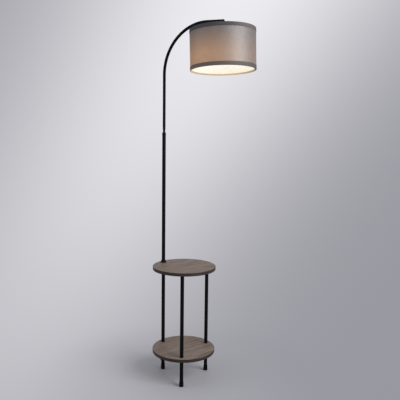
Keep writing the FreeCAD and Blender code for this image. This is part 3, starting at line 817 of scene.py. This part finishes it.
class LAMP_OT_add_stage(bpy.types.Operator):
    """Adds the camera, the studio lights, the floor and the backdrop"""

    bl_idname = "lamp.add_stage"
    bl_label = "Add Stage"

    def execute(self, context):
        self.add_camera()
        self.add_lights()
        self.add_floor()
        self.add_backdrop()
        bpy.context.scene.view_settings.view_transform = "Standard"
        return {"FINISHED"}

    def add_camera(self):
        """Camera where the photograph was taken from."""
        place = stage_settings()
        camera = bpy.data.objects.new("camera", bpy.data.cameras.new("camera"))
        bpy.context.collection.objects.link(camera)
        camera.data.sensor_width = place.sensor
        camera.data.lens = place.sensor * place.focal_share
        camera.data.clip_start = 0.05
        camera.data.clip_end = 200.0
        turn = (
            Matrix.Rotation(place.camera_heading, 4, "Z")
            @ Matrix.Rotation(math.radians(90) - place.camera_pitch, 4, "X")
            @ Matrix.Rotation(place.camera_roll, 4, "Z")
        )
        camera.matrix_world = Matrix.Translation(place.camera_place) @ turn
        bpy.context.scene.camera = camera

    def add_lights(self):
        """Key from the camera's right, fill on the table from the left, and one behind."""
        for name, place, width, aim, power in LIGHTS:
            light = bpy.data.lights.new(name, "AREA")
            light.energy = getattr(stage_settings(), power)
            light.size = width
            lamp = bpy.data.objects.new(name, light)
            bpy.context.collection.objects.link(lamp)
            lamp.location = place
            sight = Vector(aim) - Vector(place)
            lamp.rotation_euler = sight.to_track_quat("-Z", "Y").to_euler()

    def add_floor(self):
        """Floor that takes the shadow near the lamp and gives way to the backdrop further
        off."""
        deselect_all()
        bpy.ops.mesh.primitive_circle_add(
            vertices=96, radius=stage_settings().floor_radius, fill_type="TRIFAN",
            location=(0, 0, 0))
        floor = bpy.context.object
        floor.name = "floor"
        floor.data.materials.append(self.floor_finish())

    def floor_finish(self):
        """Matt floor near the lamp. Further off the camera sees it painted as the backdrop
        behind it, and then nothing of it, and from below it sees nothing of it at all. For
        the light it fades from matt to nothing."""
        stage = stage_settings()
        nodes = Nodes("floor")
        place = nodes.object_coords()
        # The floor's colour runs from painted light on the left to painted shade on the right.
        run = nodes.spread(nodes.along(place, self.rightward()), *LEFT_TO_RIGHT, 0.0, 1.0)
        nodes.set(
            Base_Color=nodes.mix(run, stage.floor_left, stage.floor_right),
            Roughness=0.9, Specular_IOR_Level=0.1)
        sight = nodes.vector("NORMALIZE", nodes.vector("SUBTRACT", place, stage.camera_place))
        emission = nodes.add("ShaderNodeEmission")
        nodes.link(self.backdrop_colour(nodes, sight), emission.inputs["Color"])
        table_x, table_y, _ = TABLE_MIDDLE
        distance = nodes.vector(
            "LENGTH", nodes.mapped(place, location=(-table_x, -table_y, 0.0)))

        def fade(low, high):
            share = nodes.spread(distance, low, high, 0.0, 1.0)
            share.node.interpolation_type = "SMOOTHERSTEP"
            return share

        matt = nodes.shader.outputs["BSDF"]
        painted = emission.outputs[0]
        clear = nodes.add("ShaderNodeBsdfTransparent").outputs[0]
        from_below = nodes.add("ShaderNodeNewGeometry").outputs["Backfacing"]
        by_camera = nodes.add("ShaderNodeLightPath").outputs["Is Camera Ray"]
        lit = nodes.blend(fade(*LIT_TO_NOTHING), matt, clear)
        seen = nodes.blend(fade(*SEEN_TO_PAINTED), matt, painted)
        seen = nodes.blend(fade(*PAINTED_TO_NOTHING), seen, clear)
        seen = nodes.blend(from_below, seen, clear)
        nodes.link(nodes.blend(by_camera, lit, seen), nodes.output.inputs["Surface"])
        return nodes.material

    def rightward(self):
        """Level direction to the camera's right."""
        heading = stage_settings().camera_heading
        return (math.cos(heading), math.sin(heading), 0.0)

    def onward(self):
        """Level direction away from the camera."""
        heading = stage_settings().camera_heading
        return (-math.sin(heading), math.cos(heading), 0.0)

    def backdrop_colour(self, nodes, direction):
        """Pale grey with a long soft pool of light across it, on the camera's side and on
        the opposite one."""
        stage = stage_settings()

        def from_pool(axis, way):
            offset = nodes.math("SUBTRACT", nodes.along(direction, way), POOL_MIDDLE[axis])
            return nodes.math("DIVIDE", offset, POOL_REACH[axis])

        side = from_pool(0, self.rightward())
        high = from_pool(1, (0.0, 0.0, 1.0))
        long_way = nodes.math("POWER", nodes.math("ADD", side, high), 2.0)
        short_way = nodes.math("POWER", nodes.math("SUBTRACT", side, high), 2.0)
        reach = nodes.weigh((long_way, POOL_FALL[0]), (short_way, POOL_FALL[1]))
        pool = nodes.math("EXPONENT", nodes.times(reach, -1.0))
        behind = nodes.spread(
            nodes.along(direction, self.onward()), *ROUND_TO_BEHIND, 0.0, 1.0)
        ground = nodes.mix(behind, stage.backdrop_round, stage.backdrop_dim)
        return nodes.mix(pool, ground, stage.backdrop_lit)

    def add_backdrop(self):
        """Even light for the lamp. The camera and reflections see the backdrop."""
        world = bpy.data.worlds.new("studio")
        bpy.context.scene.world = world
        world.use_nodes = True
        nodes = Tree(world.node_tree)
        direction = nodes.add("ShaderNodeTexCoord").outputs["Generated"]
        seen = nodes.add("ShaderNodeBackground")
        nodes.link(self.backdrop_colour(nodes, direction), seen.inputs["Color"])
        even = nodes.add("ShaderNodeBackground")
        even.inputs["Color"].default_value = (*EVEN_LIGHT, 1.0)
        even.inputs["Strength"].default_value = stage_settings().ambient
        ray = nodes.add("ShaderNodeLightPath").outputs
        shown = nodes.math("MAXIMUM", ray["Is Glossy Ray"], ray["Is Transmission Ray"])
        shown = nodes.math("MAXIMUM", ray["Is Camera Ray"], shown)
        output = nodes.add("ShaderNodeOutputWorld")
        backdrop = nodes.blend(shown, even.outputs[0], seen.outputs[0])
        nodes.link(backdrop, output.inputs["Surface"])


class LAMP_PT_panel(bpy.types.Panel):
    """Buttons for the lamp's pieces"""

    bl_label = "Floor Lamp"
    bl_idname = "LAMP_PT_panel"
    bl_space_type = "VIEW_3D"
    bl_region_type = "UI"
    bl_category = "Lamp"

    def draw(self, context):
        for step in STEPS:
            self.layout.operator(step.bl_idname)


STEPS = (
    LAMP_OT_dress_frame,
    LAMP_OT_add_shade_cloth,
    LAMP_OT_add_rim_tapes,
    LAMP_OT_add_stage,
)
SETTINGS = {
    "lamp_shade": LampShadeSettings,
    "lamp_finish": LampFinishSettings,
    "lamp_stage": LampStageSettings,
}


def register():
    for kind in (*SETTINGS.values(), *STEPS, LAMP_PT_panel):
        bpy.utils.register_class(kind)
    for name, kind in SETTINGS.items():
        setattr(bpy.types.Scene, name, bpy.props.PointerProperty(type=kind))


def unregister():
    for name in SETTINGS:
        delattr(bpy.types.Scene, name)
    for kind in reversed((*SETTINGS.values(), *STEPS, LAMP_PT_panel)):
        bpy.utils.unregister_class(kind)


def run(step):
    """Calls an operator by its id, and stops the script if it fails."""
    group, name = step.bl_idname.split(".")
    if getattr(getattr(bpy.ops, group), name)() != {"FINISHED"}:
        raise RuntimeError(step.bl_idname + " did not finish")


def main():
    register()
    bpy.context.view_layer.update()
    for step in STEPS:
        run(step)
    bpy.context.view_layer.update()


if __name__ == "__main__":
    main()
